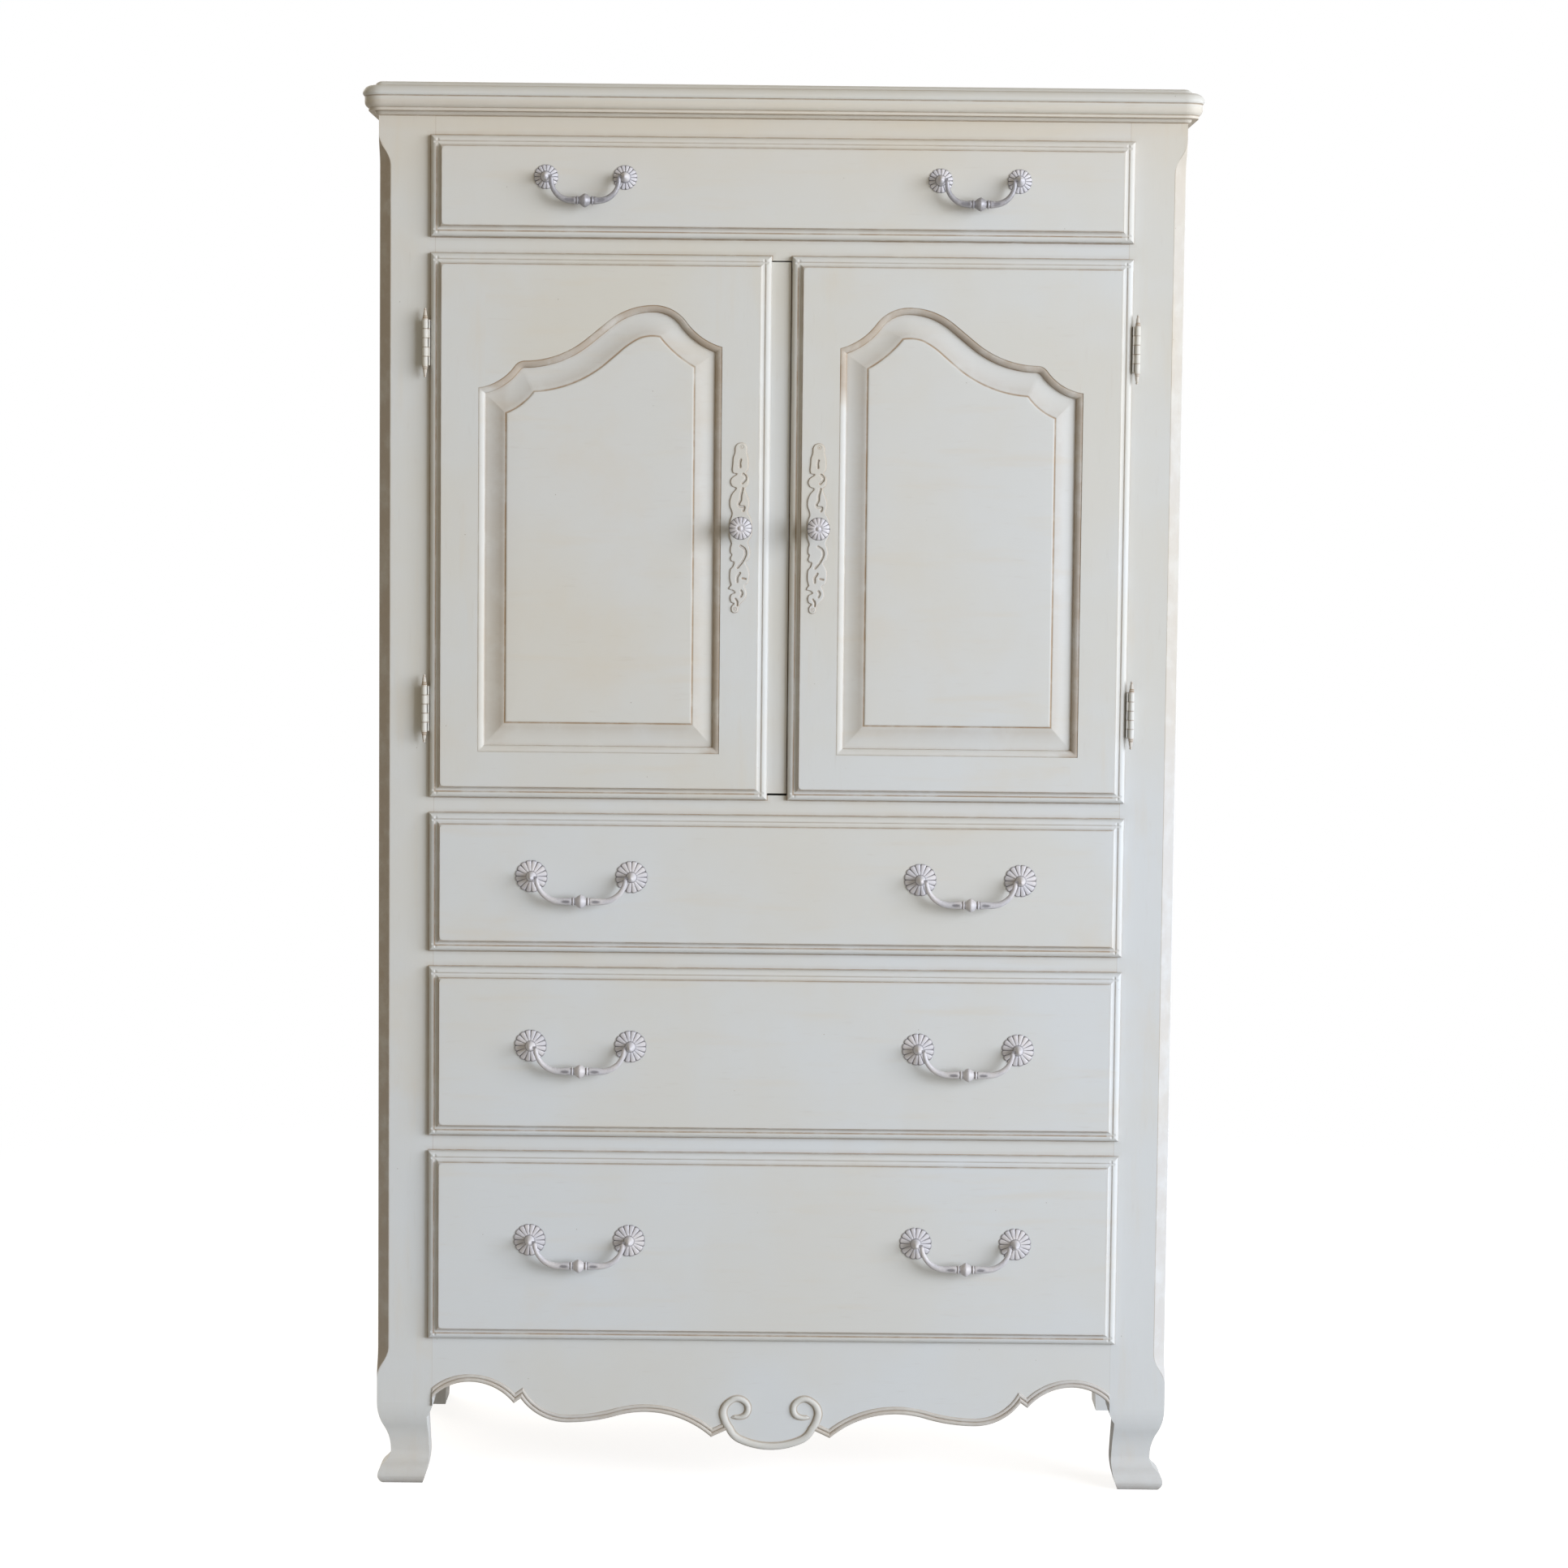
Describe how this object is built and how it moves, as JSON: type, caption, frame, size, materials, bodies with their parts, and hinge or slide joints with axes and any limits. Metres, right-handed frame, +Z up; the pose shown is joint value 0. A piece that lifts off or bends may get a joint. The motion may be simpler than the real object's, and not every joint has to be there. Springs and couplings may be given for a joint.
{
  "type": "door chest",
  "caption": "Tall painted chest with a drawer above a two-door cupboard with arched raised panels, drawers below, a moulded top, a shaped apron and curved feet.",
  "frame": {"origin": "on the floor, under the middle of the chest's overall width and depth, handles included", "axes": "+Z up, +Y towards the back, +X to the right as seen from the front"},
  "size_m": [0.9492, 0.4788, 1.608],
  "materials": {
    "painted_wood": "antique off-white paint with brown glaze in the recesses",
    "inner_wood": "sealed bare wood",
    "drawer_wood": "clear lacquered bare wood",
    "antiqued_pewter": "off-white wash rubbed over pewter",
    "painted_metal": "painted with the chest",
    "steel": "plain zinc plate"
  },
  "bodies": {
    "case": {"top_board": "painted_wood", "cornice_moulding": "painted_wood", "left_front_post": "painted_wood", "right_front_post": "painted_wood", "left_rear_post": "painted_wood", "right_rear_post": "painted_wood", "left_side_panel": "painted_wood", "right_side_panel": "painted_wood", "back_panel": "inner_wood", "top_rail": "painted_wood", "upper_door_rail": "painted_wood", "lower_door_rail": "painted_wood", "upper_drawer_rail": "painted_wood", "lower_drawer_rail": "painted_wood", "front_apron": "painted_wood", "dust_panels": "inner_wood", "case_floor": "inner_wood", "drawer_guides": "inner_wood", "cabinet_shelf": "inner_wood", "shelf_pins": "steel", "door_catches": "steel", "left_frame_leaves": "painted_metal", "right_frame_leaves": "painted_metal"},
    "left_door": {"left_door_hinge_stile": "painted_wood", "left_door_meeting_stile": "painted_wood", "left_door_top_rail": "painted_wood", "left_door_bottom_rail": "painted_wood", "left_door_panel": "painted_wood", "left_door_centre_strip": "painted_wood", "left_door_knob": "antiqued_pewter", "left_door_knob_plate": "painted_metal", "left_door_leaves": "painted_metal"},
    "right_door": {"right_door_hinge_stile": "painted_wood", "right_door_meeting_stile": "painted_wood", "right_door_top_rail": "painted_wood", "right_door_bottom_rail": "painted_wood", "right_door_panel": "painted_wood", "right_door_knob": "antiqued_pewter", "right_door_knob_plate": "painted_metal", "right_door_leaves": "painted_metal"},
    "top_drawer": {"top_drawer_front": "painted_wood", "top_drawer_box": "drawer_wood", "top_drawer_pull_mounts": "antiqued_pewter"},
    "second_drawer": {"second_drawer_front": "painted_wood", "second_drawer_box": "drawer_wood", "second_drawer_pull_mounts": "antiqued_pewter"},
    "third_drawer": {"third_drawer_front": "painted_wood", "third_drawer_box": "drawer_wood", "third_drawer_pull_mounts": "antiqued_pewter"},
    "bottom_drawer": {"bottom_drawer_front": "painted_wood", "bottom_drawer_box": "drawer_wood", "bottom_drawer_pull_mounts": "antiqued_pewter"},
    "top_drawer_left_bail": {"top_drawer_left_bail": "antiqued_pewter"},
    "top_drawer_right_bail": {"top_drawer_right_bail": "antiqued_pewter"},
    "second_drawer_left_bail": {"second_drawer_left_bail": "antiqued_pewter"},
    "second_drawer_right_bail": {"second_drawer_right_bail": "antiqued_pewter"},
    "third_drawer_left_bail": {"third_drawer_left_bail": "antiqued_pewter"},
    "third_drawer_right_bail": {"third_drawer_right_bail": "antiqued_pewter"},
    "bottom_drawer_left_bail": {"bottom_drawer_left_bail": "antiqued_pewter"},
    "bottom_drawer_right_bail": {"bottom_drawer_right_bail": "antiqued_pewter"}
  },
  "joints": [
    {"name": "left_door_hinge", "type": "hinge", "parent": "case", "child": "left_door", "pos_m": [-0.4025, -0.20815, 1.10845], "axis": [0, 0, -1], "range_deg": [0, 170]},
    {"name": "right_door_hinge", "type": "hinge", "parent": "case", "child": "right_door", "pos_m": [0.4025, -0.20815, 1.10845], "axis": [0, 0, 1], "range_deg": [0, 170]},
    {"name": "top_drawer_slide", "type": "slide", "parent": "case", "child": "top_drawer", "axis": [0, -1, 0], "range_m": [0, 0.33]},
    {"name": "second_drawer_slide", "type": "slide", "parent": "case", "child": "second_drawer", "axis": [0, -1, 0], "range_m": [0, 0.33]},
    {"name": "third_drawer_slide", "type": "slide", "parent": "case", "child": "third_drawer", "axis": [0, -1, 0], "range_m": [0, 0.33]},
    {"name": "bottom_drawer_slide", "type": "slide", "parent": "case", "child": "bottom_drawer", "axis": [0, -1, 0], "range_m": [0, 0.33]},
    {"name": "top_drawer_left_bail_swing", "type": "hinge", "parent": "top_drawer", "child": "top_drawer_left_bail", "pos_m": [-0.222, -0.22665, 1.502], "axis": [-1, 0, 0], "range_deg": [-12, 170]},
    {"name": "top_drawer_right_bail_swing", "type": "hinge", "parent": "top_drawer", "child": "top_drawer_right_bail", "pos_m": [0.222, -0.22665, 1.502], "axis": [-1, 0, 0], "range_deg": [-12, 170]},
    {"name": "second_drawer_left_bail_swing", "type": "hinge", "parent": "second_drawer", "child": "second_drawer_left_bail", "pos_m": [-0.222, -0.22665, 0.7112], "axis": [-1, 0, 0], "range_deg": [-12, 170]},
    {"name": "second_drawer_right_bail_swing", "type": "hinge", "parent": "second_drawer", "child": "second_drawer_right_bail", "pos_m": [0.222, -0.22665, 0.7112], "axis": [-1, 0, 0], "range_deg": [-12, 170]},
    {"name": "third_drawer_left_bail_swing", "type": "hinge", "parent": "third_drawer", "child": "third_drawer_left_bail", "pos_m": [-0.222, -0.22665, 0.5161], "axis": [-1, 0, 0], "range_deg": [-12, 170]},
    {"name": "third_drawer_right_bail_swing", "type": "hinge", "parent": "third_drawer", "child": "third_drawer_right_bail", "pos_m": [0.222, -0.22665, 0.5161], "axis": [-1, 0, 0], "range_deg": [-12, 170]},
    {"name": "bottom_drawer_left_bail_swing", "type": "hinge", "parent": "bottom_drawer", "child": "bottom_drawer_left_bail", "pos_m": [-0.222, -0.22665, 0.2909], "axis": [-1, 0, 0], "range_deg": [-12, 170]},
    {"name": "bottom_drawer_right_bail_swing", "type": "hinge", "parent": "bottom_drawer", "child": "bottom_drawer_right_bail", "pos_m": [0.222, -0.22665, 0.2909], "axis": [-1, 0, 0], "range_deg": [-12, 170]}
  ]
}
